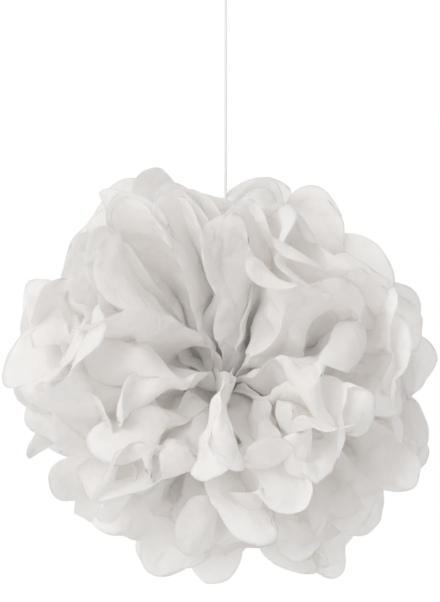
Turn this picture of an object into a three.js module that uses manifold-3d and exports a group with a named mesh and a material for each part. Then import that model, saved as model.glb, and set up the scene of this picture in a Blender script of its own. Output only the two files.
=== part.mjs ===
// A hanging tissue paper pom pom: ten sheets of tissue, folded like an accordion as one stack,
// tied round the middle, cut round at both ends, fanned into a disc and pulled apart,
// five sheets to the front (-Y) and five to the back. It hangs on a taut cord with a loop.
// Millimetres, +Z up. The origin is where the loop rests on its hook.
import * as THREE from "three";
import { mergeVertices } from "three/addons/utils/BufferGeometryUtils.js";
import Module from "manifold-3d";

// Driving dimensions
const hangDrop = 350; // from the hook down to the middle of the tie
const pomRadius = 171; // from the end of the pinch to a petal's tip, so a sheet is 350 long
const panelsPerHalf = 11; // folds in each half of a sheet, one petal each
const panelWidth = 50; // width of one folded panel
const petalRound = 25; // how far the notch between two petals lies below their tips
const sheetLeans = [38, 51, 63, 75, 86]; // each front sheet's angle from the -Y axis, degrees
const cordDiameter = 2.4;
const tieTurns = 3;
const tieInnerRadius = 7.2;
const tiePitch = 1.9; // from one turn of the tie to the next
const loopHeight = 27; // from the loop's knot to the hook
const gap = 0.3; // between pieces that touch

// The stack where the tie pinches it
const pinch = { halfLength: 4, halfHeight: 4.8, foldDepth: 0.45, pitch: 0.9, thickness: 0.36 };
// Distances from the pinch at which the folds are drawn, how deep they are there and how thick
// the sheet is measured across the stack
const foldRows = [
  { reach: 14, depth: 3, thickness: 0.8 },
  { reach: 50, depth: foldDepth(50), thickness: 1.2 },
  { reach: 100, depth: foldDepth(100), thickness: 1.2 },
  { reach: pomRadius - petalRound, depth: foldDepth(pomRadius - petalRound), thickness: 1 },
];
const petalSteps = 6; // straight edges round a petal's end
const bumpSteps = 4; // straight edges over a turn of cord
const tieSides = 24;
const knotSides = 12;
const knotWaist = 0.7; // a knot's radius between its bumps, as a part of its full radius
const seamClearance = 1.2; // how far a half fan's end folds stay off the plane of its pinch

const tissue = { color: 0xf3f0ee, roughness: 0.92, metalness: 0 };
const cordCotton = { color: 0xf1f1ef, roughness: 0.8, metalness: 0 };

const wasm = await Module();
wasm.setup();

const pom = new THREE.Group();
pom.position.z = -hangDrop;
const hanging = new THREE.Group();
hanging.add(pom);

// Half the height of a fold at this distance from the tie, for panels that keep their width
function foldDepth(reach) {
  const arc = (Math.PI * reach) / panelsPerHalf;
  return Math.sqrt(panelWidth ** 2 - arc ** 2) / 2;
}

function addPiece(group, name, geometry, look) {
  const mesh = new THREE.Mesh(geometry, new THREE.MeshStandardMaterial(look));
  mesh.name = name;
  group.add(mesh);
}

// A closed skin as a geometry with only positions and shared vertices
function meshOf(points, faces) {
  const geometry = new THREE.BufferGeometry();
  geometry.setAttribute("position", new THREE.Float32BufferAttribute(points.flat(), 3));
  geometry.setIndex(faces.flat());
  return geometry;
}

function solidOf(geometry) {
  const plain = geometry.clone();
  plain.deleteAttribute("normal");
  plain.deleteAttribute("uv");
  const merged = mergeVertices(plain, 1e-3);
  return new wasm.Manifold(
    new wasm.Mesh({
      numProp: 3,
      vertProperties: merged.attributes.position.array,
      triVerts: new Uint32Array(merged.index.array),
    }),
  );
}

function joined(geometries) {
  const solid = geometries.map(solidOf).reduce((a, b) => a.add(b));
  const { vertProperties, triVerts } = solid.getMesh();
  const geometry = new THREE.BufferGeometry();
  geometry.setAttribute("position", new THREE.BufferAttribute(vertProperties, 3));
  geometry.setIndex(new THREE.BufferAttribute(triVerts, 1));
  return geometry;
}

// One sheet: creases run through the tie from one half of the disc to the other.
// lean is its angle from the -Y axis, place its order in the stack counted from the middle.
function tissueSheet(lean, place) {
  const leanAngle = THREE.MathUtils.degToRad(lean);
  const points = [];
  const faces = [];

  // A point of the fan, side +1 or -1 for the right or left half, turn from -1 to 1 round it,
  // fold from -1 to 1 across a panel, face +1 for the sheet's back and -1 for its front
  function fanPoint(side, turn, fold, reach, depth, thickness, face) {
    const bend = (depth * fold * Math.sin(leanAngle) + (face * thickness) / 2) / reach;
    const angle = leanAngle + bend;
    const round = turn * Math.acos(seamClearance / reach);
    return [
      side * (pinch.halfLength + reach * Math.sin(angle) * Math.cos(round)),
      -reach * Math.cos(angle),
      reach * Math.sin(angle) * Math.sin(round),
    ];
  }

  function pinchPoint(x, turn, fold, face) {
    const y = place * pinch.pitch + fold * pinch.foldDepth + (face * pinch.thickness) / 2;
    return [x, y, turn * pinch.halfHeight];
  }

  // Rows of creases from the left rim through the tie to the right rim
  const rows = [];
  for (const side of [-1, 1]) {
    const half = foldRows.map((row) => (turn, fold, face) =>
      fanPoint(side, turn, fold, row.reach, row.depth, row.thickness, face));
    half.unshift((turn, fold, face) => pinchPoint(side * pinch.halfLength, turn, fold, face));
    rows.push(...(side < 0 ? half.reverse() : half));
  }
  const creases = panelsPerHalf + 1;
  const pointAt = [-1, 1].map((face) =>
    rows.map((row) =>
      Array.from({ length: creases }, (_, crease) => {
        points.push(row((2 * crease) / panelsPerHalf - 1, crease % 2 ? 1 : -1, face));
        return points.length - 1;
      })));

  // The round ends: an arc of points over each panel, on both rims
  const rim = foldRows.at(-1);
  const arcAt = [-1, 1].map((face) =>
    [-1, 1].map((side) =>
      Array.from({ length: panelsPerHalf }, (_, panel) =>
        Array.from({ length: petalSteps - 1 }, (_, step) => {
          const swing = (Math.PI * (step + 1)) / petalSteps;
          const across = (1 - Math.cos(swing)) / 2;
          const reach = rim.reach + petalRound * Math.sin(swing);
          const fold = (panel % 2 ? 1 : -1) * (1 - 2 * across);
          const turn = (2 * (panel + across)) / panelsPerHalf - 1;
          points.push(fanPoint(side, turn, fold, reach, rim.depth, rim.thickness, face));
          return points.length - 1;
        }))));

  // The panels' front and back faces
  for (const [layer, grid] of pointAt.entries()) {
    for (let row = 0; row < rows.length - 1; row++) {
      for (let crease = 0; crease < creases - 1; crease++) {
        const a = grid[row][crease];
        const b = grid[row + 1][crease];
        const c = grid[row + 1][crease + 1];
        const d = grid[row][crease + 1];
        faces.push(...(layer ? [[a, c, b], [a, d, c]] : [[a, b, c], [a, c, d]]));
      }
    }
  }

  // The round ends' faces, and the wall of cut paper round the whole sheet
  const border = [[], []];
  for (const [sideIndex, row] of [0, rows.length - 1].entries()) {
    for (const layer of [0, 1]) {
      for (let panel = 0; panel < panelsPerHalf; panel++) {
        const from = pointAt[layer][row][panel];
        const outline = [...arcAt[layer][sideIndex][panel], pointAt[layer][row][panel + 1]];
        for (let i = 0; i < outline.length - 1; i++) {
          const cap = [from, outline[i], outline[i + 1]];
          faces.push(sideIndex !== layer ? cap : [cap[0], cap[2], cap[1]]);
        }
      }
    }
  }
  for (const layer of [0, 1]) {
    const rimLine = (sideIndex, row) =>
      Array.from({ length: panelsPerHalf }, (_, panel) =>
        [pointAt[layer][row][panel], ...arcAt[layer][sideIndex][panel]]).flat()
        .concat(pointAt[layer][row][panelsPerHalf]);
    const left = rimLine(0, 0);
    const right = rimLine(1, rows.length - 1);
    const top = rows.map((_, row) => pointAt[layer][row][panelsPerHalf]).slice(1, -1);
    const bottom = rows.map((_, row) => pointAt[layer][row][0]).slice(1, -1);
    border[layer] = [...left, ...top, ...right.reverse(), ...bottom.reverse()];
  }
  const [front, back] = border;
  for (let i = 0; i < front.length; i++) {
    const next = (i + 1) % front.length;
    faces.push([front[i], front[next], back[next]], [front[i], back[next], back[i]]);
  }
  return meshOf(points, faces);
}

// Three turns of cord round the pinched stack, about the X axis
function centreTie() {
  const wireRadius = cordDiameter / 2;
  const first = (-(tieTurns - 1) * tiePitch) / 2;
  const profile = [new THREE.Vector2(tieInnerRadius, first - wireRadius)];
  const halfGroove = Math.acos(tiePitch / 2 / wireRadius);
  for (let turn = 0; turn < tieTurns; turn++) {
    const start = turn ? halfGroove : 0;
    const end = Math.PI - (turn < tieTurns - 1 ? halfGroove : 0);
    for (let i = turn ? 1 : 0; i <= bumpSteps; i++) {
      const swing = start + ((end - start) * i) / bumpSteps;
      profile.push(new THREE.Vector2(
        tieInnerRadius + wireRadius + wireRadius * Math.sin(swing),
        first + turn * tiePitch - wireRadius * Math.cos(swing),
      ));
    }
  }
  profile.push(new THREE.Vector2(tieInnerRadius, -first + wireRadius));
  profile.push(profile[0].clone());
  return new THREE.LatheGeometry(profile, tieSides).rotateZ(-Math.PI / 2);
}

// A knot's outer shape: round bumps above each other about the cord, from z = 0 up
function knotSolid(radius, height, bumps) {
  const profile = [new THREE.Vector2(0, 0)];
  const bumpHeight = height / bumps;
  for (let bump = 0; bump < bumps; bump++) {
    for (let i = bump ? 1 : 0; i <= bumpSteps; i++) {
      const swing = (Math.PI * i) / bumpSteps;
      const z = bumpHeight * (bump + (1 - Math.cos(swing)) / 2);
      const swell = knotWaist + (1 - knotWaist) * Math.sin(swing);
      profile.push(new THREE.Vector2(radius * swell, z));
    }
  }
  profile.push(new THREE.Vector2(0, height));
  return new THREE.LatheGeometry(profile, knotSides).rotateX(Math.PI / 2);
}

// A round section swept along a line
function tubeAlong(curve, diameter, sides, steps) {
  const section = new THREE.Shape(
    Array.from({ length: sides }, (_, i) => {
      const turn = (2 * Math.PI * i) / sides;
      return new THREE.Vector2((diameter / 2) * Math.cos(turn), (diameter / 2) * Math.sin(turn));
    }));
  return new THREE.ExtrudeGeometry(section, { steps, extrudePath: curve, bevelEnabled: false });
}

// Sheets: the front five lean towards -Y, the back five are their mirror image in the disc
const half = sheetLeans.length;
for (const [i, lean] of sheetLeans.entries()) {
  const place = half - 0.5 - i;
  addPiece(pom, `front_sheet_${i + 1}`, tissueSheet(lean, -place), tissue);
  addPiece(pom, `back_sheet_${i + 1}`, tissueSheet(180 - lean, place), tissue);
}

// Tie, and the knot of the hanging cord on top of it
const tieTop = tieInnerRadius + cordDiameter;
const tieKnot = { radius: 2.8, height: 7, bumps: 2 };
addPiece(pom, "centre_tie", centreTie(), cordCotton);
const tieKnotShape = knotSolid(tieKnot.radius, tieKnot.height, tieKnot.bumps);
addPiece(pom, "tie_knot", tieKnotShape.translate(0, 0, tieTop + gap), cordCotton);

// Cord: taut, straight up between the two half fans
const cordRoute = [
  [0, 0, -332.8], [0, 0, -320], [0, 0, -300], [0, 0, -280], [0, 0, -260], [0, 0, -240],
  [0, 0, -220], [0, 0, -200], [0, 0, -180], [0, 0, -160], [0, 0, -140], [0, 0, -120],
  [0, 0, -100], [0, 0, -80], [0, 0, -60], [0, 0, -46], [0, 0, -35.3],
];
const cordLine = new THREE.CatmullRomCurve3(cordRoute.map((p) => new THREE.Vector3(...p)));
addPiece(hanging, "hanging_cord", tubeAlong(cordLine, cordDiameter, 8, 42), cordCotton);

// Loop: the cord doubled back on itself into a knot; the hook bears on the inside of its top
const loopKnot = { radius: 3.6, height: 8, bumps: 2 };
const loopRadius = 6;
const loopFoot = -loopHeight - 2;
const loopLine = new THREE.CatmullRomCurve3([
  new THREE.Vector3(-1.3, 0, loopFoot),
  new THREE.Vector3(-3.4, 0, loopFoot + 8),
  new THREE.Vector3(-loopRadius, 0, -loopRadius - 4),
  ...[150, 120, 90, 60, 30].map((degrees) => {
    const turn = THREE.MathUtils.degToRad(degrees);
    const reach = loopRadius + cordDiameter / 2;
    return new THREE.Vector3(reach * Math.cos(turn), 0, reach * Math.sin(turn) - loopRadius);
  }),
  new THREE.Vector3(loopRadius, 0, -loopRadius - 4),
  new THREE.Vector3(3.4, 0, loopFoot + 8),
  new THREE.Vector3(1.3, 0, loopFoot),
]);
const loopKnotShape = knotSolid(loopKnot.radius, loopKnot.height, loopKnot.bumps);
const hangingLoop = joined([
  tubeAlong(loopLine, cordDiameter, 8, 32),
  loopKnotShape.translate(0, 0, -loopHeight - loopKnot.height),
]);
addPiece(hanging, "hanging_loop", hangingLoop, cordCotton);

export default hanging;
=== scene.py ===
import math

import bmesh
import bpy
import numpy as np
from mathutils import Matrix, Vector


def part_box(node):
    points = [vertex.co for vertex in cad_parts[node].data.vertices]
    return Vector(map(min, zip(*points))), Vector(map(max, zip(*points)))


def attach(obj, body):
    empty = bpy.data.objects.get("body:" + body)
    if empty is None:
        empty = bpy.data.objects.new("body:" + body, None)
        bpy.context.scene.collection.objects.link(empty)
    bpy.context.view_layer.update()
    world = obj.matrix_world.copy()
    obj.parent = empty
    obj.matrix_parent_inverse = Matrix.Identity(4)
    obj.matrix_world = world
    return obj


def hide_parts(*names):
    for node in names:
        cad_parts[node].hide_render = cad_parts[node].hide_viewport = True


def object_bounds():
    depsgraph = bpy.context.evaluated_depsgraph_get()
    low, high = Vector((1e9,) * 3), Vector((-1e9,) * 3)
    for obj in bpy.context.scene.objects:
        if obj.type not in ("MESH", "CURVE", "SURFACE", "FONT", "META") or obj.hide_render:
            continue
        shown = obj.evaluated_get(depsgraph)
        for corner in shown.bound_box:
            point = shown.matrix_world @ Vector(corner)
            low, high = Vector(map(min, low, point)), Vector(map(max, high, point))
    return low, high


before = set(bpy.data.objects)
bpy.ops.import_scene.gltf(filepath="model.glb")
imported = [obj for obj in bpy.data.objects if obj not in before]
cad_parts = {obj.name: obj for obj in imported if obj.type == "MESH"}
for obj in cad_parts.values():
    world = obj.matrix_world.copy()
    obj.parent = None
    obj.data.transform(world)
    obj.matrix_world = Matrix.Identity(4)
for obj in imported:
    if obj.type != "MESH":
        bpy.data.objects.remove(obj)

# A tissue paper pom pom on its cord. Everything is in metres, +Z up, -Y is the front,
# and the origin is where the loop rests on its hook.
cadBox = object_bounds()
tieLow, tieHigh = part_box("centre_tie")
tieMiddle = (tieLow + tieHigh) / 2
collection = bpy.context.scene.collection

view = {
    "distance": 1.8,
    "aside": -0.0044,  # the camera stands a little left of the cord
    "above": 0.0674,  # and looks level, from above the tie
    "height": 0.4834,  # what the view takes in from top to bottom, at the tie's distance
}


def placeCamera():
    data = bpy.data.cameras.new("camera")
    data.sensor_fit = "VERTICAL"
    data.sensor_height = 24
    data.lens = data.sensor_height * view["distance"] / view["height"]
    camera = bpy.data.objects.new("camera", data)
    camera.location = tieMiddle + Vector((view["aside"], -view["distance"], view["above"]))
    camera.rotation_euler = (math.pi / 2, 0, 0)
    collection.objects.link(camera)
    bpy.context.scene.camera = camera


placeCamera()
print("camera placed")


def smooth(x):
    x = np.clip(x, 0, 1)
    return x * x * (3 - 2 * x)


def newObject(name, mesh):
    piece = bpy.data.objects.new(name, mesh)
    collection.objects.link(piece)
    return piece


# the cord, the tie, both knots and the loop are one three-strand cotton cord, swept along each line
cord = {
    "diameter": 0.0024,
    "strands": 3,
    "lay": 0.0085,  # length of one full twist
    "groove": 0.2,  # depth of the grooves between strands, as a part of the radius
    "sides": 15,
    "step": 0.0006,
    "berth": 0.0032,  # the paper keeps this far from the cord's middle line,
    "berthFoot": 0.011,  # from this far above the tie's middle
}
cordRoute = [
    (0, 0, -0.3328), (0, 0, -0.320), (0, 0, -0.300), (0, 0, -0.280), (0, 0, -0.260),
    (0, 0, -0.240), (0, 0, -0.220), (0, 0, -0.200), (0, 0, -0.180), (0, 0, -0.160),
    (0, 0, -0.140), (0, 0, -0.120), (0, 0, -0.100), (0, 0, -0.080), (0, 0, -0.060),
    (0, 0, -0.046), (0, 0, -0.0353),
]


def smoothLine(points, step):
    # a Catmull-Rom line through the points, with about one point each step
    p = np.array(points, float)
    p = np.vstack([2 * p[0] - p[1], p, 2 * p[-1] - p[-2]])
    line = []
    for a, b, c, d in zip(p[:-3], p[1:-2], p[2:-1], p[3:]):
        count = max(1, int(round(np.linalg.norm(c - b) / step)))
        t = (np.arange(count) / count)[:, None]
        line.append(0.5 * (2 * b + (c - a) * t + (2 * a - 5 * b + 4 * c - d) * t ** 2
                           + (3 * b - a - 3 * c + d) * t ** 3))
    return np.vstack(line + [p[-2:-1]])


def twistedCord(mesh, points, diameter):
    line = smoothLine(points, cord["step"])
    ahead = np.gradient(line, axis=0)
    ahead /= np.linalg.norm(ahead, axis=1)[:, None]
    run = np.concatenate([[0], np.cumsum(np.linalg.norm(np.diff(line, axis=0), axis=1))])
    side = np.cross(ahead[0], (0.3, 0.9, 0.2))
    side /= np.linalg.norm(side)
    turn = np.arange(cord["sides"]) * 2 * math.pi / cord["sides"]
    swell = 1 - cord["groove"] * (1 - np.abs(np.cos(cord["strands"] / 2 * turn)))
    uvLayer = mesh.loops.layers.uv.verify()
    rings = []
    for i, centre in enumerate(line):
        side = side - ahead[i] * side.dot(ahead[i])
        side /= np.linalg.norm(side)
        other = np.cross(ahead[i], side)
        angle = turn + 2 * math.pi * run[i] / cord["lay"]
        reach = (diameter / 2 * swell)[:, None]
        ring = centre + reach * (np.cos(angle)[:, None] * side + np.sin(angle)[:, None] * other)
        rings.append([mesh.verts.new(point) for point in ring])
    sides = cord["sides"]
    for i in range(len(rings) - 1):
        for j in range(sides):
            k = (j + 1) % sides
            face = mesh.faces.new((rings[i][j], rings[i][k], rings[i + 1][k], rings[i + 1][j]))
            face.smooth = True
            for loop, (row, column) in zip(face.loops, ((i, j), (i, j + 1), (i + 1, j + 1), (i + 1, j))):
                loop[uvLayer].uv = (column / sides, run[row] / cord["lay"])
    mesh.faces.new(list(reversed(rings[0])))
    mesh.faces.new(rings[-1])


def cordPiece(name, lines, material):
    mesh = bmesh.new()
    for points, diameter in lines:
        twistedCord(mesh, points, diameter)
    data = bpy.data.meshes.new(name)
    mesh.to_mesh(data)
    mesh.free()
    data.materials.append(material)
    piece = newObject(name, data)
    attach(piece, "root")
    return piece


def coil(centre, axis, radius, rise, turns, start=0.0):
    # points of a helix about axis, "x" or "z", with its middle at centre
    steps = int(turns * 16) + 1
    t = np.linspace(0, 1, steps)
    angle = start + 2 * math.pi * turns * t
    along = rise * (t - 0.5)
    if axis == "x":
        spots = np.stack([along, radius * np.cos(angle), radius * np.sin(angle)], 1)
    else:
        spots = np.stack([radius * np.cos(angle), radius * np.sin(angle), along], 1)
    return spots + np.array(centre)


tie = {"radius": 0.0086, "turns": 3, "width": 0.0042, "cord": 0.0021}
tieKnot = {"radius": 0.0018, "turns": 2.6, "cord": 0.0022}
loop = {"knotRadius": 0.0024, "knotTurns": 2.8, "knotCord": 0.0022, "half": 0.0072, "low": -0.029}


def centreTie(material):
    # three turns round the pinched stack, both ends up into the knot
    turns = coil(tieMiddle, "x", tie["radius"], tie["width"], tie["turns"], math.pi / 2)
    knotFoot = tieMiddle + Vector((0, 0, tieHigh.z - tieMiddle.z + 0.0006))
    ends = [np.array(knotFoot) + (s * 0.0006, s * 0.0004, 0) for s in (-1, 1)]
    return cordPiece("tie_turns", [(np.vstack([ends[0], turns[2:-2], ends[1]]), tie["cord"])], material)


def tieKnotPiece(material):
    low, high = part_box("tie_knot")
    middle = (low + high) / 2
    rise = high.z - low.z - tieKnot["cord"]
    turns = coil(middle, "z", tieKnot["radius"], rise, tieKnot["turns"])
    heart = [middle + Vector((0.0002, 0, z)) for z in (-0.45 * rise, 0, 0.45 * rise)]
    return cordPiece("cord_knot", [(turns, tieKnot["cord"]), (heart, tieKnot["cord"])], material)


def loopPiece(material):
    # the cord doubled back on itself, its foot wound into a knot
    low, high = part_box("hanging_loop")
    half, crown = loop["half"], high.z - cord["diameter"] / 2 - loop["half"]
    bow = [(half * math.cos(a), 0, crown + half * math.sin(a))
           for a in np.radians((150, 120, 90, 60, 30))]
    line = [(-0.0011, 0, low.z + 0.0015), (-0.0013, 0, loop["low"]), (-0.0034, 0, loop["low"] + 0.008),
            (-0.006, 0, -0.010), *bow, (0.006, 0, -0.010), (0.0034, 0, loop["low"] + 0.008),
            (0.0013, 0, loop["low"]), (0.0011, 0, low.z + 0.0015)]
    knotMiddle = (0, 0, low.z + 0.004)
    rise = 0.008 - loop["knotCord"]
    turns = coil(knotMiddle, "z", loop["knotRadius"], rise, loop["knotTurns"])
    return cordPiece("top_loop", [(line, cord["diameter"]), (turns, loop["knotCord"])], material)


def hangingCord(material):
    piece = cordPiece("cord_run", [(cordRoute, cord["diameter"])], material)
    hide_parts("hanging_cord")
    return piece


def addNode(tree, kind, at=(0, 0), **settings):
    node = tree.nodes.new(kind)
    node.location = at
    for name, value in settings.items():
        setattr(node, name, value)
    return node


def wire(tree, *links):
    for source, target in links:
        tree.links.new(source, target)


def groupOf(name, inputs, outputs):
    tree = bpy.data.node_groups.new(name, "ShaderNodeTree")
    for label, kind, value in inputs:
        socket = tree.interface.new_socket(label, in_out="INPUT", socket_type=kind)
        if value is not None:
            socket.default_value = value
    for label, kind in outputs:
        tree.interface.new_socket(label, in_out="OUTPUT", socket_type=kind)
    return tree, addNode(tree, "NodeGroupInput", (-800, 0)), addNode(tree, "NodeGroupOutput", (800, 0))


def fibreGroup():
    # felted fibres: a fine directional grain over soft clouds of thick and thin
    tree, given, out = groupOf(
        "feltedFibres",
        [("Vector", "NodeSocketVector", None), ("Grain", "NodeSocketFloat", 900.0),
         ("Clouds", "NodeSocketFloat", 120.0)],
        [("Tone", "NodeSocketFloat"), ("Height", "NodeSocketFloat")])
    stretch = addNode(tree, "ShaderNodeMapping", (-560, 120))
    stretch.inputs["Scale"].default_value = (1, 0.35, 1)
    grain = addNode(tree, "ShaderNodeTexNoise", (-340, 160))
    grain.inputs["Detail"].default_value = 3
    grain.inputs["Roughness"].default_value = 0.6
    clouds = addNode(tree, "ShaderNodeTexNoise", (-340, -120))
    clouds.inputs["Detail"].default_value = 4
    clouds.inputs["Roughness"].default_value = 0.55
    mixed = addNode(tree, "ShaderNodeMath", (-80, 0), operation="MULTIPLY_ADD")
    mixed.inputs[1].default_value = 0.4
    soft = addNode(tree, "ShaderNodeMath", (120, 0), operation="MULTIPLY")
    soft.inputs[1].default_value = 0.715
    wire(tree, (given.outputs["Vector"], stretch.inputs["Vector"]),
         (stretch.outputs[0], grain.inputs["Vector"]), (given.outputs["Vector"], clouds.inputs["Vector"]),
         (given.outputs["Grain"], grain.inputs["Scale"]), (given.outputs["Clouds"], clouds.inputs["Scale"]),
         (grain.outputs[0], mixed.inputs[0]), (clouds.outputs[0], mixed.inputs[2]),
         (mixed.outputs[0], soft.inputs[0]), (soft.outputs[0], out.inputs["Tone"]),
         (grain.outputs[0], out.inputs["Height"]))
    return tree


tissueLook = {
    "thick": (0.990, 0.982, 0.975, 1),  # where the fibres lie thick
    "thin": (0.978, 0.969, 0.961, 1),
    "through": 0.58,  # share of light that goes through the paper
    "roughness": (0.82, 0.95),
    "creaseDepth": 0.0009,
    "crinkle": 2.2,  # how much deeper the flat-sided crinkles are than the soft creases
    "crinkleScale": 34,
    "grainDepth": 0.00006,
}
cottonLook = {"light": (0.97, 0.97, 0.965, 1), "dark": (0.92, 0.92, 0.915, 1)}


def tissueMaterial(fibres):
    material = bpy.data.materials.new("white tissue")
    material.use_nodes = True
    tree = material.node_tree
    shader = tree.nodes["Principled BSDF"]
    shader.inputs["Specular IOR Level"].default_value = 0.25
    uv = addNode(tree, "ShaderNodeUVMap", (-1500, 0), uv_map="flat")
    grain = addNode(tree, "ShaderNodeGroup", (-900, 200))
    grain.node_tree = fibres
    grain.inputs["Grain"].default_value = 700
    grain.inputs["Clouds"].default_value = 90
    colour = addNode(tree, "ShaderNodeMixRGB", (-500, 250))
    colour.inputs[1].default_value = tissueLook["thin"]
    colour.inputs[2].default_value = tissueLook["thick"]
    rough = addNode(tree, "ShaderNodeMapRange", (-500, 60))
    rough.inputs["To Min"].default_value, rough.inputs["To Max"].default_value = tissueLook["roughness"]
    # soft creases along the folds, and crinkles every way
    along = addNode(tree, "ShaderNodeMapping", (-1200, -200))
    along.inputs["Scale"].default_value = (1, 0.16, 1)
    pleats = addNode(tree, "ShaderNodeTexNoise", (-900, -150))
    pleats.inputs["Scale"].default_value = 75
    pleats.inputs["Detail"].default_value = 2
    crinkle = addNode(tree, "ShaderNodeTexVoronoi", (-900, -400), feature="F1", distance="MANHATTAN")
    crinkle.inputs["Scale"].default_value = tissueLook["crinkleScale"]
    shake = addNode(tree, "ShaderNodeTexNoise", (-1200, -500))
    shake.inputs["Scale"].default_value = 26
    shake.inputs["Detail"].default_value = 3
    wander = addNode(tree, "ShaderNodeMixRGB", (-1050, -450), blend_type="LINEAR_LIGHT")
    wander.inputs[0].default_value = 0.03
    both = addNode(tree, "ShaderNodeMath", (-500, -250), operation="MULTIPLY_ADD")
    both.inputs[1].default_value = tissueLook["crinkle"]
    creases = addNode(tree, "ShaderNodeBump", (-300, -250))
    creases.inputs["Distance"].default_value = tissueLook["creaseDepth"]
    creases.inputs["Strength"].default_value = 1.0
    fine = addNode(tree, "ShaderNodeBump", (-100, -150))
    fine.inputs["Distance"].default_value = tissueLook["grainDepth"]
    through = addNode(tree, "ShaderNodeBsdfTranslucent", (0, 250))
    mixed = addNode(tree, "ShaderNodeMixShader", (300, 100))
    mixed.inputs[0].default_value = tissueLook["through"]
    wire(tree, (uv.outputs[0], grain.inputs["Vector"]), (uv.outputs[0], along.inputs["Vector"]),
         (along.outputs[0], pleats.inputs["Vector"]), (uv.outputs[0], shake.inputs["Vector"]),
         (uv.outputs[0], wander.inputs[1]), (shake.outputs["Color"], wander.inputs[2]),
         (wander.outputs[0], crinkle.inputs["Vector"]), (crinkle.outputs["Distance"], both.inputs[0]),
         (pleats.outputs[0], both.inputs[2]),
         (both.outputs[0], creases.inputs["Height"]), (grain.outputs["Height"], fine.inputs["Height"]),
         (creases.outputs[0], fine.inputs["Normal"]), (fine.outputs[0], shader.inputs["Normal"]),
         (fine.outputs[0], through.inputs["Normal"]), (grain.outputs["Tone"], colour.inputs[0]),
         (colour.outputs[0], shader.inputs["Base Color"]), (colour.outputs[0], through.inputs["Color"]),
         (grain.outputs["Tone"], rough.inputs["Value"]), (rough.outputs[0], shader.inputs["Roughness"]),
         (shader.outputs[0], mixed.inputs[1]), (through.outputs[0], mixed.inputs[2]),
         (mixed.outputs[0], tree.nodes["Material Output"].inputs["Surface"]))
    return material


def cottonMaterial(fibres):
    material = bpy.data.materials.new("white cotton cord")
    material.use_nodes = True
    tree = material.node_tree
    shader = tree.nodes["Principled BSDF"]
    shader.inputs["Specular IOR Level"].default_value = 0.3
    shader.inputs["Sheen Weight"].default_value = 0.2
    place = addNode(tree, "ShaderNodeTexCoord", (-1100, 0))
    grain = addNode(tree, "ShaderNodeGroup", (-800, 0))
    grain.node_tree = fibres
    grain.inputs["Grain"].default_value = 2600
    grain.inputs["Clouds"].default_value = 400
    colour = addNode(tree, "ShaderNodeMixRGB", (-450, 150))
    colour.inputs[1].default_value = cottonLook["dark"]
    colour.inputs[2].default_value = cottonLook["light"]
    rough = addNode(tree, "ShaderNodeMapRange", (-450, -50))
    rough.inputs["To Min"].default_value = 0.7
    rough.inputs["To Max"].default_value = 0.95
    bump = addNode(tree, "ShaderNodeBump", (-250, -200))
    bump.inputs["Distance"].default_value = 0.00012
    wire(tree, (place.outputs["Object"], grain.inputs["Vector"]), (grain.outputs["Tone"], colour.inputs[0]),
         (colour.outputs[0], shader.inputs["Base Color"]), (grain.outputs["Tone"], rough.inputs["Value"]),
         (rough.outputs[0], shader.inputs["Roughness"]), (grain.outputs["Height"], bump.inputs["Height"]),
         (bump.outputs[0], shader.inputs["Normal"]))
    return material


fibres = fibreGroup()
cotton = cottonMaterial(fibres)
tieTurns = centreTie(cotton)
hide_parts("centre_tie")
cordKnot = tieKnotPiece(cotton)
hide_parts("tie_knot")
topLoop = loopPiece(cotton)
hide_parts("hanging_loop")
hangingCord(cotton)
print("cord, knot, tie and loop made")

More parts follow.
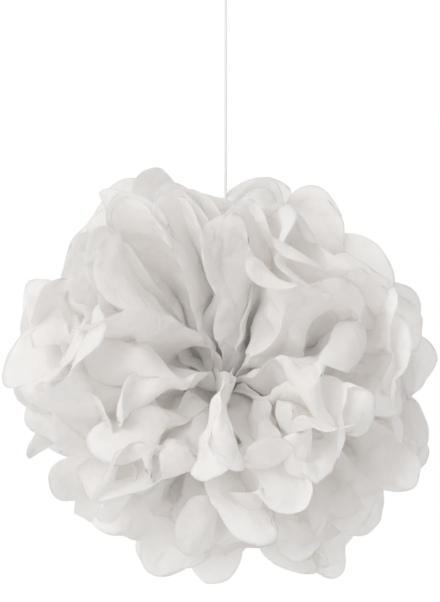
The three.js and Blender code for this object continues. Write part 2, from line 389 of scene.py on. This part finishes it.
paper = {
    "width": 0.550,  # across the folds
    "length": 0.350,  # along them, from a petal's tip to the opposite one's
    "panels": 11,  # folds in each half, one petal each
    "petalRound": 0.025,  # how far a notch lies below the tips beside it
    "pinchHalf": 0.004,  # half the length that the tie holds
    "pinchHeight": 0.0048,
    "pinchPitch": 0.0009,
    "pinchFold": 0.00045,
    "flareFrom": 0.004,  # the folds start to open this far from the pinch
    "crush": 0.2,  # how narrow the tie crushes the paper, as a part of its width
    "thickness": 0.0002,
    "crease": 0.92,  # how sharp the folds stay, from 0 to 1
    "columns": 8,  # mesh columns across a panel
    "rows": 30,  # mesh rows from the tie to a petal's tip
    "leans": (38, 51, 63, 75, 86),  # degrees from the front or the back, innermost sheet first
}
fluff = {
    "seed": 29,
    "steps": 420,
    "pullUntil": 0.9,  # hands let go after this part of the steps
    "pull": 0.10,
    "pullFrom": 0.45,  # hands hold the sheet beyond this part of its length
    "gap": 0.0042,  # how close two layers may come
    "throat": 2,  # degrees by which the sheets close up near the tie
    "push": 0.0015,  # the most that one step pushes two layers apart
    "looseFrom": 0.040,  # layers are kept apart from this far out from the tie
    "gapNearTie": 0.25,  # and this part of it near the tie
    "crumple": 0.0022,
    "stiffAcross": ((2, 0.3), (4, 0.3)),  # over how many mesh steps, and how stiff
    "stiffAlong": ((2, 0.12), (4, 0.08)),
    "flatFront": 0.141,  # nothing stands further out than this from the tie, front or back
    # one value for each sheet, innermost first
    "lean": (42, 54, 65, 76, 86),
    "open": (0.80, 0.82, 0.84, 0.86, 0.90),  # share of its width that a petal shows
    "widest": 0.97,  # no petal shows more than this share
    "openJitter": (0.20, 0.18, 0.16, 0.12, 0.09),
    "leanSwing": (8, 8, 7, 5, 3),  # degrees by which it wanders about its lean
    "leanJitter": (12, 12, 11, 9, 6),  # and by which each petal does
    "curlJitter": (26, 26, 24, 20, 14),  # degrees by which tips bend in or out
    "short": (0.13, 0.12, 0.11, 0.10, 0.08),  # how much a crumpled petal's reach is cut
    "turnJitter": (9, 8, 8, 7, 6),  # degrees by which a petal's tip leans sideways
    "twist": (26, 25, 24, 20, 16),  # degrees by which it turns about its own length
    "bow": 0.002,  # how far a petal's middle stands off its edges
    "seamLap": 14,  # degrees by which end petals cross the seams at the top and bottom
    "seamLean": 6,  # degrees that keep crossing end petals one behind the other
    "cornerShare": (0.34, 0.32, 0.28, 0.22, 0.18),  # share of petals with a folded corner
    "cornerSlant": 50,  # degrees off square that a corner's fold may lie
    "cornerTurn": (70, 150),  # degrees that a corner is folded over, least and most
    "cornerDepth": (0.012, 0.028),  # how far below the tip the fold lies
    "moreCorners": (0.30, 0.30, 0.30, 0.25, 0.15),  # and of the others, those folded by a later knock
    "wrinkle": 0.0036,
    "wrinkleWaves": ((0.060, 0.9), (0.038, 0.7), (0.024, 0.45), (0.014, 0.3)),  # length and share
}
# petals of the front, given one by one: sheet, azimuth from the right, lean, share shown, curl,
# turn sideways, turn about its length, reach kept
arranged = (
    (0, -84, 10, 0.80, 20, -12, 0, 0.80),
    (0, -62, 30, 0.50, 8, 0, 20, 0.72),
    (0, -44, 46, 0.60, -6, 0, -20, 0.80),
    (0, -22, 50, 0.97, -12, 0, -8, 0.82),
    (0, 2, 30, 0.70, 4, 4, 28, 0.70),
    (0, 17, 50, 0.90, -4, 0, 0, 0.80),
    (0, 38, 50, 0.60, 6, 0, -24, 0.80),
    (0, 64, 46, 0.97, -18, 6, 0, 0.84),
    (0, 82, 50, 0.45, 8, 16, 0, 0.88),
    (0, 99, 57, 0.60, 0, 8, 0, 0.92),
    (0, 116, 60, 0.50, -4, 0, 10, 0.95),
    (0, 132, 52, 0.45, 4, 0, 0, 0.90),
    (0, 149, 38, 0.50, 6, 0, 25, 0.75),
    (0, 165, 30, 0.75, 18, 0, 0, 0.66),
    (0, 181, 20, 0.35, 26, 10, 0, 0.58),
    (0, 198, 34, 0.45, 8, 0, 30, 0.70),
    (0, 214, 50, 0.50, -4, 0, -20, 0.85),
    (0, 231, 36, 0.40, 10, 0, 0, 0.72),
    (0, 262, 28, 0.80, 16, 6, 0, 0.72),
    (1, -76, 46, 0.80, -2, -10, 0, 0.80),
    (1, 34, 57, 0.95, -4, 0, 0, 0.86),
    (1, 60, 58, 0.95, -10, 0, 0, 0.92),
    (1, 82, 56, 0.60, 0, 14, 0, 0.95),
    (1, 99, 60, 0.80, 0, 8, 0, 0.95),
    (1, 115, 60, 0.95, -5, 0, 12, 1.0),
    (1, 131, 63, 0.90, 0, 0, -8, 1.0),
    (2, 98, 68, 0.97, -10, 0, 0, 1.0),
    (2, 116, 70, 0.95, -6, 0, 0, 1.0),
    (2, 70, 68, 0.95, -6, 8, 0, 0.97),
    (2, 18, 66, 0.95, -4, 0, 0, 0.97),
    (2, -12, 66, 0.95, -10, 0, 0, 0.97),
    (3, 106, 78, 0.45, 0, 0, 0, 1.0),
    (3, 122, 80, 0.50, 0, 0, 20, 1.0),
    (4, 114, 84, 0.60, 0, 0, 0, 1.0),
    (4, 66, 84, 0.95, 0, 0, 0, 1.0),
)
mess = {"least": 0.7, "most": 1.1, "azimuth": 222, "width": 62}  # the lower left is pulled about most
ball = {
    # azimuth from the right, how wide, how much further out
    "bulges": ((120, 12, 0.07), (93, 7, -0.06), (141, 8, -0.05), (279, 9, -0.06), (180, 40, 0.12),
               (90, 50, 0.05), (270, 55, -0.03), (0, 40, 0.025), (206, 7, -0.035), (234, 7, -0.045),
               (300, 8, 0.03), (322, 7, -0.05), (38, 7, -0.03), (160, 7, -0.03)),
    "sway": 0.003,  # how far the petals sway together
    "heart": 0.0022,  # how far the paper near the tie is pushed about
}
panelWidth = paper["width"] / paper["panels"]
tipReach = paper["length"] / 2 - paper["pinchHalf"]
notchReach = tipReach - paper["petalRound"]
columns = paper["columns"] * paper["panels"]


def flatPattern():
    # u across the folds, v from the tie outwards, fold from -1 to 1 across each panel
    s = np.linspace(0, 1, paper["rows"] + 1)[:, None]
    t = np.append(np.tile(np.arange(paper["columns"]) / paper["columns"], paper["panels"]), 0)[None, :]
    blend = s ** 3
    across = (1 - blend) * t + blend * (1 - np.cos(math.pi * t)) / 2
    panel = (np.arange(columns + 1) // paper["columns"])[None, :]
    u = panelWidth * (panel + across)
    outline = notchReach + paper["petalRound"] * np.sqrt(np.maximum(1 - (2 * across - 1) ** 2, 0))
    v = s * notchReach + s ** 4 * (outline - notchReach)
    fold = np.where(panel % 2 == 0, 2 * across - 1, 1 - 2 * across)
    return u, v, fold


def spherePoint(side, lean, azimuth, reach):
    # lean is measured from the front, azimuth from level, up positive
    return np.stack([side * (paper["pinchHalf"] + reach * np.sin(lean) * np.cos(azimuth)),
                     -reach * np.cos(lean), reach * np.sin(lean) * np.sin(azimuth)])


def closedNearTie(lean, reach):
    # the sheets stand up round the tie before they lean out
    near = 1 - smooth((reach - 0.03) / 0.08)
    return lean - math.radians(fluff["throat"]) * near * np.sin(2 * lean) * np.where(reach > 0.012, 1, 0.5)


def foldedFan(u, v, fold, lean, side, place):
    turn = 2 * u / paper["width"] - 1
    ramp = smooth((v - paper["flareFrom"]) / 0.032)
    arc = math.pi * np.maximum(v, 0.045) / paper["panels"]
    deep = np.sqrt(np.maximum(panelWidth ** 2 - arc ** 2, 0)) / 2
    depth = (1 - ramp) * (paper["pinchFold"] + 0.03 * v) + ramp * deep
    angle = lean + depth * fold * math.sin(lean) / np.maximum(v, 0.004)
    angle = closedNearTie(angle, v)
    azimuth = turn * np.arccos(np.clip(0.0012 / np.maximum(v, 0.0013), 0, 1))
    fan = spherePoint(side, angle, azimuth, v)
    pinched = np.stack([side * (paper["pinchHalf"] + 0 * v),
                        place * paper["pinchPitch"] + fold * paper["pinchFold"],
                        turn * paper["pinchHeight"]])
    m = smooth(v / 0.012)
    return (1 - m) * pinched + m * fan


def wander(rng, x, waves):
    # a smooth random line between about -1 and 1
    total = 0 * x
    for n in range(1, waves + 1):
        total = total + rng.normal(0, 1 / math.sqrt(n)) * np.sin(n * x + rng.uniform(0, 2 * math.pi))
    return total / math.sqrt(waves)


def shareOut(rng, order, share):
    # how much of its width each petal shows: most face outwards, some are folded back under
    panels = paper["panels"]
    wanted = panels * share
    shown = fluff["open"][order]
    back = 0.55  # a petal folded back takes about this share of its width back
    folded = int(max(0, round((panels * shown - wanted) / (shown + back))))
    opening = np.clip(rng.normal(shown, fluff["openJitter"][order], panels), 0.25, fluff["widest"])
    places = []
    for panel in rng.permutation(np.arange(1, panels - 1)):
        if len(places) < folded and all(abs(panel - other) > 1 for other in places):
            places.append(panel)
    for panel in places:
        opening[panel] = -rng.uniform(0.25, 0.85)
    return opening, places


def foldCorner(rng, places, centre, across):
    # the tip of one petal folded over a slanting line, as a corner of paper is
    out = centre[:, -1] - centre[:, -3]
    out /= np.linalg.norm(out)
    aside = across[:, -1]
    facing = np.cross(out, aside)
    slant = math.radians(rng.uniform(-fluff["cornerSlant"], fluff["cornerSlant"]))
    turned = math.radians(rng.choice((-1, 1)) * rng.uniform(*fluff["cornerTurn"]))
    start = centre[:, -1] - out * rng.uniform(*fluff["cornerDepth"])
    over = math.cos(slant) * out + math.sin(slant) * aside
    along = np.cross(facing, over)
    rel = places - start[:, None, None]
    d, n, m = (np.tensordot(axis, rel, 1) for axis in (over, facing, along))
    bent = [d * math.cos(turned) - n * math.sin(turned), d * math.sin(turned) + n * math.cos(turned)]
    moved = start[:, None, None] + over[:, None, None] * bent[0] + facing[:, None, None] * bent[1] \
        + along[:, None, None] * m
    return np.where(d > 0, moved, places)


def fluffedPlaces(rng, v, front, side, order, seamTop, seamBottom):
    # where hands pull the outer rows of one half sheet, at every other column
    panels, columnStep = paper["panels"], 2
    lean = math.radians(fluff["lean"][order])
    lap = math.radians(fluff["seamLap"])
    low = -math.pi / 2 - lap * (side == seamBottom)
    high = math.pi / 2 + lap * (side == seamTop)
    share = (high - low) * notchReach * math.sin(lean) / (panels * panelWidth)
    opening, folded = shareOut(rng, order, share)
    middle = np.linspace(low, high, 2 * panels + 1)[1::2]
    around = np.degrees(middle) if side > 0 else 180 - np.degrees(middle)
    mine = {}
    for petal in arranged if front else ():
        off = np.abs((around - petal[1] + 180) % 360 - 180)
        if petal[0] == order and off.min() < 9:
            mine[int(off.argmin())] = petal
    loose = np.array([panel not in mine for panel in range(panels)])
    least = 0.12
    if len(mine) > panels / 2:
        least = -0.85
    else:
        loose &= np.array([panel not in folded for panel in range(panels)])
    for panel, petal in mine.items():
        opening[panel] = petal[3]
    for _ in range(8):
        missing = panels * share - opening.sum()
        opening[loose] = np.clip(opening[loose] + missing / max(1, loose.sum()), least, fluff["widest"])
    edges = np.concatenate([[0], np.cumsum(opening)]) / opening.sum()
    azimuth = low + (high - low) * (edges[1:] + edges[:-1]) / 2
    spread = (high - low) * (edges[1:] - edges[:-1])

    fromMess = (around - mess["azimuth"] + 180) % 360 - 180
    messy = mess["least"] + mess["most"] * np.exp(-(fromMess / mess["width"]) ** 2)

    def jittered(name):
        return np.radians(rng.normal(0, fluff[name][order], panels)) * messy

    petalLean = lean + math.radians(fluff["leanSwing"][order]) * wander(rng, 1.3 * azimuth, 3)
    petalLean += jittered("leanJitter")
    curl = jittered("curlJitter")
    aside = jittered("turnJitter")
    twist = jittered("twist")
    bow = rng.normal(0, fluff["bow"], panels)
    kept = 1 - np.abs(rng.normal(0, fluff["short"][order], panels)) * messy
    corners = rng.random(panels) < fluff["cornerShare"][order]
    ends = math.radians(fluff["seamLean"])
    petalLean[-1] += ends if side != seamTop else -ends
    petalLean[0] += ends if side != seamBottom else -ends
    for panel, petal in mine.items():
        petalLean[panel], curl[panel] = math.radians(petal[2]), math.radians(petal[4])
        aside[panel], twist[panel] = side * math.radians(petal[5]), side * math.radians(petal[6])
        kept[panel] = petal[7]
        wanted = math.radians(petal[1])
        azimuth[panel] = wanted if side > 0 else math.atan2(math.sin(wanted), -math.cos(wanted))
    rows = np.arange(int(paper["rows"] * fluff["pullFrom"]), paper["rows"] + 1)
    reach = v[rows, paper["columns"] // 2][:, None]
    s = (reach - reach[0]) / (tipReach - reach[0])
    leanLine = np.clip(petalLean + curl * s ** 3, -0.1, 1.9)
    azimuthLine = azimuth + aside * s
    reach = reach * (1 - (1 - kept) * s)
    zigzag = np.arccos(np.clip(spread * reach * np.abs(np.sin(leanLine)) / panelWidth, -0.95, 0.99))
    sign = np.where(np.arange(panels) % 2 == 0, 1, -1)
    tilt = sign * zigzag + twist * s
    centre = spherePoint(side, leanLine, azimuthLine, reach)
    outwards = np.stack([side * np.cos(leanLine) * np.cos(azimuthLine), np.sin(leanLine),
                         np.cos(leanLine) * np.sin(azimuthLine)])
    level = np.stack([-side * np.sin(azimuthLine), 0 * azimuthLine, np.cos(azimuthLine)])
    across = np.cos(tilt) * level + np.sin(tilt) * outwards
    away = -np.sin(tilt) * level + np.cos(tilt) * outwards
    perPanel = paper["columns"] // columnStep
    t = np.arange(perPanel + 1) / perPanel - 0.5
    places = centre[..., None] + across[..., None] * (t * panelWidth) \
        + away[..., None] * (bow * s)[..., None] * (1 - 4 * t ** 2)
    for panel in np.nonzero(corners)[0]:
        places[:, :, panel] = foldCorner(rng, places[:, :, panel], centre[:, :, panel], across[:, :, panel])
    later = np.random.default_rng((fluff["seed"], front, order, side + 1))
    knocked = ~corners & (later.random(panels) < fluff["moreCorners"][order])
    for panel in np.nonzero(knocked)[0]:
        places[:, :, panel] = foldCorner(later, places[:, :, panel], centre[:, :, panel], across[:, :, panel])
    pulled = np.zeros((3, len(rows), panels * perPanel + 1))
    weight = np.zeros(panels * perPanel + 1)
    for panel in range(panels):
        pulled[:, :, panel * perPanel:(panel + 1) * perPanel + 1] += places[:, :, panel]
        weight[panel * perPanel:(panel + 1) * perPanel + 1] += 1
    return rows, pulled / weight


def linkOf(u, v, crush, rowsA, columnsA, rowsB, columnsB):
    rest = np.hypot(u[rowsA, columnsA] - u[rowsB, columnsB], v[rowsA, columnsA] - v[rowsB, columnsB])
    squeeze = np.minimum(crush[rowsA, columnsA], crush[rowsB, columnsB])
    low = rest if columnsA == columnsB else rest * squeeze
    return [rowsA, columnsA, rowsB, columnsB, rest.astype(np.float32), low.astype(np.float32)]


def stretchLinks(u, v, crush):
    every = slice(None)
    last, end = v.shape[0] - 1, v.shape[1] - 1
    links = [linkOf(u, v, crush, every, slice(p, end, 2), every, slice(p + 1, end + 1, 2)) for p in (0, 1)]
    links += [linkOf(u, v, crush, slice(p, last, 2), every, slice(p + 1, last + 1, 2), every) for p in (0, 1)]
    for p in (0, 1):
        upper, lower = slice(p, last, 2), slice(p + 1, last + 1, 2)
        links.append(linkOf(u, v, crush, upper, slice(0, end), lower, slice(1, end + 1)))
        links.append(linkOf(u, v, crush, upper, slice(1, end + 1), lower, slice(0, end)))
    return links


def bendLinks(u, v, crush):
    # stiffness against bending: inside a panel, since its edges are hinges, and along the folds
    every = slice(None)
    height, width = v.shape
    links = []
    for stride, strength in fluff["stiffAcross"]:
        link = linkOf(u, v, crush, every, slice(0, width - stride), every, slice(stride, width))
        first = np.arange(width - stride)
        inside = first // paper["columns"] == (first + stride - 1) // paper["columns"]
        links.append(link + [(strength * inside).astype(np.float32)[None, :], 0.985])
    for stride, strength in fluff["stiffAlong"]:
        link = linkOf(u, v, crush, slice(0, height - stride), every, slice(stride, height), every)
        links.append(link + [np.float32(strength), 0.995])
    return links


def solveStretch(x, links):
    for rowsA, columnsA, rowsB, columnsB, rest, low in links:
        a = x[:, :, rowsA, columnsA]
        b = x[:, :, rowsB, columnsB]
        d = b - a
        length = np.sqrt((d * d).sum(0)) + 1e-9
        d *= (length - np.clip(length, low, rest)) * 0.5 / length
        a += d
        b -= d


def solveBend(x, links):
    for rowsA, columnsA, rowsB, columnsB, rest, low, strength, flat in links:
        a = x[:, :, rowsA, columnsA]
        b = x[:, :, rowsB, columnsB]
        d = b - a
        length = np.sqrt((d * d).sum(0)) + 1e-9
        d *= np.minimum(length - np.minimum(rest, low) * flat, 0) * strength * 0.5 / length
        a += d
        b -= d


def contactSetup(x, v):
    # only the loose part of each sheet is kept apart, and less so near the tie
    first = int(np.argmax(v[:, paper["columns"] // 2] > fluff["looseFrom"]))
    height, width = v.shape
    row, column = np.meshgrid(np.arange(first, height), np.arange(width), indexing="ij")
    near = fluff["gapNearTie"]
    radius = fluff["gap"] * (near + (1 - near) * smooth((v - fluff["looseFrom"]) / 0.055))
    halves = x.shape[1]
    return {
        "first": first,
        "row": np.tile(row.ravel(), halves),
        "column": np.tile(column.ravel(), halves),
        "half": np.repeat(np.arange(halves), row.size),
        "radius": np.tile(radius[first:].ravel(), halves).astype(np.float32),
    }


def nearPairs(x, contact, reach):
    # pairs of points closer than reach, found through a grid of cells
    spots = x[:, :, contact["first"]:].reshape(3, -1)
    cell = np.floor(spots / reach).astype(np.int64)
    cell -= cell.min(1)[:, None] - 1
    sizeY, sizeZ = int(cell[1].max()) + 3, int(cell[2].max()) + 3
    key = (cell[0] * sizeY + cell[1]) * sizeZ + cell[2]
    order = np.argsort(key, kind="stable")
    unique, first, count = np.unique(key[order], return_index=True, return_counts=True)
    mine = np.repeat(np.arange(len(unique)), count)
    position = np.arange(len(key))
    one, two = [], []

    def collect(many, start):
        begin = np.repeat(np.cumsum(many) - many, many)
        one.append(np.repeat(position, many))
        two.append(np.arange(many.sum()) - begin + np.repeat(start, many))

    collect(first[mine] + count[mine] - position - 1, position + 1)
    for dx in (-1, 0, 1):
        for dy in (-1, 0, 1):
            for dz in (-1, 0, 1):
                offset = (dx * sizeY + dy) * sizeZ + dz
                if offset <= 0:
                    continue
                at = np.searchsorted(unique, unique + offset)
                at[at == len(unique)] = 0
                there = unique[at] == unique + offset
                collect(np.where(there, count[at], 0)[mine], first[at][mine])
    one = order[np.concatenate(one)]
    two = order[np.concatenate(two)]
    d = spots[:, one] - spots[:, two]
    close = (d * d).sum(0) < reach * reach
    own = (contact["half"][one] == contact["half"][two])
    own &= np.abs(contact["row"][one] - contact["row"][two]) <= 2
    own &= np.abs(contact["column"][one] - contact["column"][two]) <= 3
    keep = close & ~own
    return one[keep], two[keep]


def pushApart(x, contact, pairs):
    one, two = pairs
    loose = x[:, :, contact["first"]:]
    spots = loose.reshape(3, -1).copy()
    d = spots[:, one] - spots[:, two]
    length = np.sqrt((d * d).sum(0)) + 1e-9
    over = np.minimum(contact["radius"][one], contact["radius"][two]) - length
    hit = over > 0
    one, two, d = one[hit], two[hit], d[:, hit] * (0.5 * over[hit] / length[hit])
    total = spots.shape[1]
    count = np.bincount(one, minlength=total) + np.bincount(two, minlength=total)
    for axis in range(3):
        move = np.bincount(one, d[axis], total) - np.bincount(two, d[axis], total)
        spots[axis] += np.clip(move / np.maximum(count * 0.5, 1), -fluff["push"], fluff["push"])
    x[:, :, contact["first"]:] = spots.reshape(loose.shape)


def clearOfCord(x):
    # the cord runs up the middle, above the tie
    away = np.sqrt(x[0] ** 2 + x[1] ** 2) + 1e-9
    inside = (away < cord["berth"]) & (x[2] > cord["berthFoot"])
    scale = np.where(inside, cord["berth"] / away, 1)
    x[0] *= scale
    x[1] *= scale


def waveWarp(rng, x, waves, count):
    # smooth random moves of the space that all the layers share, so that none crosses another;
    # waves holds each wavelength in metres and its share
    moved = np.zeros_like(x)
    for size, amount in waves:
        for axis in range(3):
            for _ in range(count):
                wave = rng.normal(0, 1, 3)
                wave *= 2 * math.pi / size / np.linalg.norm(wave)
                phase = x[0] * wave[0] + x[1] * wave[1] + x[2] * wave[2] + rng.uniform(0, 2 * math.pi)
                moved[axis] += amount * np.sin(phase)
    return moved


def crumpled(x, rng):
    # the folded sheets are creased a little at random before they are opened
    moved = waveWarp(rng, x, ((0.060, 1.0), (0.030, 0.5), (0.016, 0.22)), 3)
    reach = np.sqrt((x ** 2).sum(0))
    return x + fluff["crumple"] * 0.5 * moved * smooth((reach - 0.012) / 0.03)


def fluffedSheets():
    # all twenty half sheets as one array: axis, half sheet, row, column
    rng = np.random.default_rng(fluff["seed"])
    u, v, fold = flatPattern()
    halves = []
    count = len(paper["leans"])
    for front in (True, False):
        for order in range(count):
            seams = rng.choice((-1, 1), 2)
            for side in (-1, 1):
                halves.append((front, order, side, seams))
    starts, rows, pulls = [], None, []
    for front, order, side, seams in halves:
        lean = math.radians(paper["leans"][order])
        start = foldedFan(u, v, fold, lean, side, -(count - 0.5 - order))
        rows, places = fluffedPlaces(rng, v, front, side, order, *seams)
        if not front:
            start[1] *= -1
            places[1] *= -1
        starts.append(start)
        pulls.append(places)
    x = crumpled(np.stack(starts, 1), rng).astype(np.float32)
    places = np.stack(pulls, 1).astype(np.float32)
    pull = (fluff["pull"] * smooth((rows - rows[0]) / 8))[:, None].astype(np.float32)
    held = np.stack(starts, 1)[:, :, :3].astype(np.float32)
    x[:, :, :3] = held
    crush = paper["crush"] + (1 - paper["crush"]) * smooth((v - paper["flareFrom"]) / 0.030)
    stretch, bend = stretchLinks(u, v, crush), bendLinks(u, v, crush)
    contact = contactSetup(x, v)
    steps = fluff["steps"]
    for step in range(steps):
        if step < steps * fluff["pullUntil"]:
            loose = x[:, :, rows[0]:, ::2]
            loose += pull * (places - loose)
        if step % 4 == 0:
            pairs = nearPairs(x, contact, fluff["gap"] * 1.6)
        solveStretch(x, stretch)
        solveStretch(x, stretch)
        solveBend(x, bend)
        pushApart(x, contact, pairs)
        clearOfCord(x)
        np.clip(x[1], -fluff["flatFront"], fluff["flatFront"], out=x[1])
        solveStretch(x, stretch)
        x[:, :, :3] = held
    x = windBlown(x)
    x[:, :, :3] = held
    return x, u, v


def windBlown(x):
    # the finished ball is a little out of round: one smooth warp that all the layers share
    rng = np.random.default_rng(fluff["seed"] + 100)
    around = np.arctan2(x[2], x[0])
    reach = np.sqrt((x ** 2).sum(0))
    grow = 0 * reach
    for at, wide, more in ball["bulges"]:
        off = (np.degrees(around) - at + 180) % 360 - 180
        grow += more * np.exp(-(off / wide) ** 2)
    for axis in (0, 2):
        x[axis] *= 1 + grow * smooth((reach - 0.06) / 0.08)
    moved = waveWarp(rng, x, ((0.11, 1.0), (0.055, 0.45)), 2)
    x += ball["sway"] * moved * smooth((reach - 0.03) / 0.10)
    moved = waveWarp(rng, x, ((0.040, 1.0), (0.022, 0.5)), 3)
    x += ball["heart"] * moved * smooth((reach - 0.010) / 0.03) * (1 - 0.75 * smooth((reach - 0.06) / 0.07))
    clearOfCord(x)
    return x


def softNoise(rng, flat, size):
    # smooth random values over the flat sheet, about -1 to 1
    total = np.zeros(len(flat))
    for _ in range(5):
        wave = rng.normal(0, 1, 2)
        wave *= 2 * math.pi / size / np.linalg.norm(wave) * rng.uniform(0.6, 1.3)
        total += np.sin(flat @ wave + rng.uniform(0, 2 * math.pi))
    return total / 2.5


def wrinkle(piece, order):
    # shallow random wrinkles in the finer mesh, across the paper's own face
    rng = np.random.default_rng(fluff["seed"] * 50 + order)
    data = piece.data
    count = len(data.vertices)
    spots = np.empty(count * 3, np.float32)
    normals = np.empty(count * 3, np.float32)
    data.vertices.foreach_get("co", spots)
    data.vertices.foreach_get("normal", normals)
    spots, normals = spots.reshape(-1, 3), normals.reshape(-1, 3)
    uv = np.empty(len(data.loops) * 2, np.float32)
    data.uv_layers["flat"].data.foreach_get("uv", uv)
    corner = np.empty(len(data.loops), np.int32)
    data.loops.foreach_get("vertex_index", corner)
    flat = np.zeros((count, 2), np.float32)
    flat[corner] = uv.reshape(-1, 2)
    height = np.zeros(count)
    for size, amount in fluff["wrinkleWaves"]:
        patches = 0.15 + 0.85 * smooth(0.5 + 0.5 * softNoise(rng, flat, 0.10))
        for _ in range(2):
            heading = rng.normal(0, 1, 2) * (1.3, 0.8)
            heading /= np.linalg.norm(heading)
            run = flat @ heading / size + 0.35 * softNoise(rng, flat, 0.07) + rng.random()
            height += amount * patches * (2 * np.abs(2 * (run - np.floor(run)) - 1) - 1)
    reach = np.abs(flat[:, 1] - paper["length"] / 2)
    height *= fluff["wrinkle"] / 3 * smooth((reach - 0.015) / 0.05)
    spots += normals * height[:, None]
    data.vertices.foreach_set("co", spots.ravel())
    data.update()


def sheetMesh(name, left, right, u, v, material, shift):
    # the left half from its rim to the tie, then the right half out to its rim
    rows, width = v.shape
    grid = np.concatenate([left[:, ::-1], right], 1)
    points = grid.reshape(3, -1).T + np.array(tieMiddle)
    index = np.arange(2 * rows * width).reshape(2 * rows, width)
    quads = np.stack([index[:-1, :-1], index[:-1, 1:], index[1:, 1:], index[1:, :-1]], -1).reshape(-1, 4)
    data = bpy.data.meshes.new(name)
    data.from_pydata(points.tolist(), [], quads[:, ::-1].tolist())
    along = np.concatenate([-(v[::-1] + paper["pinchHalf"]), v + paper["pinchHalf"]], 0)
    across = np.concatenate([u[::-1], u], 0)
    flat = np.stack([across + shift, along + paper["length"] / 2], -1).reshape(-1, 2)
    uv = data.uv_layers.new(name="flat")
    corner = np.zeros(len(data.loops), np.int32)
    data.loops.foreach_get("vertex_index", corner)
    uv.data.foreach_set("uv", flat[corner].astype(np.float32).ravel())
    data.polygons.foreach_set("use_smooth", np.ones(len(data.polygons), bool))
    data.materials.append(material)
    sharp = data.attributes.new("crease_edge", "FLOAT", "EDGE")
    ends = np.zeros(len(data.edges) * 2, np.int32)
    data.edges.foreach_get("vertices", ends)
    column = ends.reshape(-1, 2) % width
    folded = (column[:, 0] == column[:, 1]) & (column[:, 0] % paper["columns"] == 0)
    sharp.data.foreach_set("value", np.where(folded, paper["crease"], 0).astype(np.float32))
    split = data.attributes.new("sharp_edge", "BOOLEAN", "EDGE")
    split.data.foreach_set("value", folded)
    data.update()
    return newObject(name, data)


def applyAll(piece):
    bpy.ops.object.select_all(action="DESELECT")
    piece.select_set(True)
    bpy.context.view_layer.objects.active = piece
    for modifier in list(piece.modifiers):
        bpy.ops.object.modifier_apply(modifier=modifier.name)


def makeSheets(material):
    x, u, v = fluffedSheets()
    print("tissue fluffed")
    count = len(paper["leans"])
    for index in range(2 * count):
        place = "front" if index < count else "back"
        number = index % count + 1
        name = f"{place}_tissue_{number}"
        piece = sheetMesh(name, x[:, 2 * index], x[:, 2 * index + 1], u, v, material, 0.6 * index)
        finer = piece.modifiers.new("finer", "SUBSURF")
        finer.levels = finer.render_levels = 1
        applyAll(piece)
        wrinkle(piece, index)
        wall = piece.modifiers.new("wall", "SOLIDIFY")
        wall.thickness = paper["thickness"]
        wall.offset = 0
        applyAll(piece)
        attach(piece, "root")
        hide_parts(f"{place}_sheet_{number}")
    print("sheets made")


tissue = tissueMaterial(fibres)
makeSheets(tissue)

studio = {
    "gamma": 1.3,  # lifts the shadows, for a bright and even look
    "floorDrop": 0.6,  # the floor lies this far below the lowest petal
    "floorRadius": 3.5,
    "surround": 0.568,  # brightness of the white surround, as the paper sees it
    "keyStrength": 1.35,
    "fillStrength": 0.64,  # from behind, so that the back is lit and the paper glows a little
    "sunAngle": 50,  # degrees that both lights look wide
    "keyDirection": (1.05, 1.0, -0.8),  # from the upper left, in front
    "fillDirection": (-0.5, -1.0, -0.4),  # from the upper right, behind
}


def makeFloor():
    bpy.ops.object.select_all(action="DESELECT")
    low = cadBox[0][2] - studio["floorDrop"]
    bpy.ops.mesh.primitive_circle_add(vertices=96, radius=studio["floorRadius"], fill_type="NGON",
                                      location=(0, 0, low))
    floor = bpy.context.object
    floor.name = "floor"
    material = bpy.data.materials.new("pale floor")
    material.use_nodes = True
    tree = material.node_tree
    shader = tree.nodes["Principled BSDF"]
    shader.inputs["Roughness"].default_value = 0.9
    place = addNode(tree, "ShaderNodeTexCoord", (-900, 0))
    grain = addNode(tree, "ShaderNodeGroup", (-700, 0))
    grain.node_tree = fibres
    grain.inputs["Grain"].default_value = 300
    grain.inputs["Clouds"].default_value = 6
    colour = addNode(tree, "ShaderNodeMixRGB", (-300, 100))
    colour.inputs[1].default_value = (0.90, 0.90, 0.895, 1)
    colour.inputs[2].default_value = (0.93, 0.93, 0.925, 1)
    wire(tree, (place.outputs["Object"], grain.inputs["Vector"]), (grain.outputs["Tone"], colour.inputs[0]),
         (colour.outputs[0], shader.inputs["Base Color"]))
    floor.data.materials.append(material)


def makeLight():
    scene = bpy.context.scene
    world = bpy.data.worlds.new("white surround")
    scene.world = world
    world.use_nodes = True
    tree = world.node_tree
    background = tree.nodes["Background"]
    background.inputs["Color"].default_value = (1, 1, 1, 1)
    path = addNode(tree, "ShaderNodeLightPath", (-500, 0))
    bright = addNode(tree, "ShaderNodeMapRange", (-250, 0))
    bright.inputs["To Min"].default_value = studio["surround"]
    bright.inputs["To Max"].default_value = 1.0
    wire(tree, (path.outputs["Is Camera Ray"], bright.inputs["Value"]),
         (bright.outputs[0], background.inputs["Strength"]))
    for name, strength, direction in (("key", studio["keyStrength"], studio["keyDirection"]),
                                      ("fill", studio["fillStrength"], studio["fillDirection"])):
        sun = bpy.data.lights.new(name, "SUN")
        sun.energy = strength
        sun.angle = math.radians(studio["sunAngle"])
        lamp = bpy.data.objects.new(name, sun)
        lamp.rotation_euler = Vector(direction).to_track_quat("-Z", "Y").to_euler()
        collection.objects.link(lamp)
    scene.view_settings.view_transform = "Standard"
    scene.view_settings.gamma = studio["gamma"]
    scene.cycles.use_denoising = True
    scene.cycles.max_bounces = 32
    scene.cycles.diffuse_bounces = 32
    scene.cycles.transmission_bounces = 32


makeFloor()
makeLight()
print("floor and light placed")
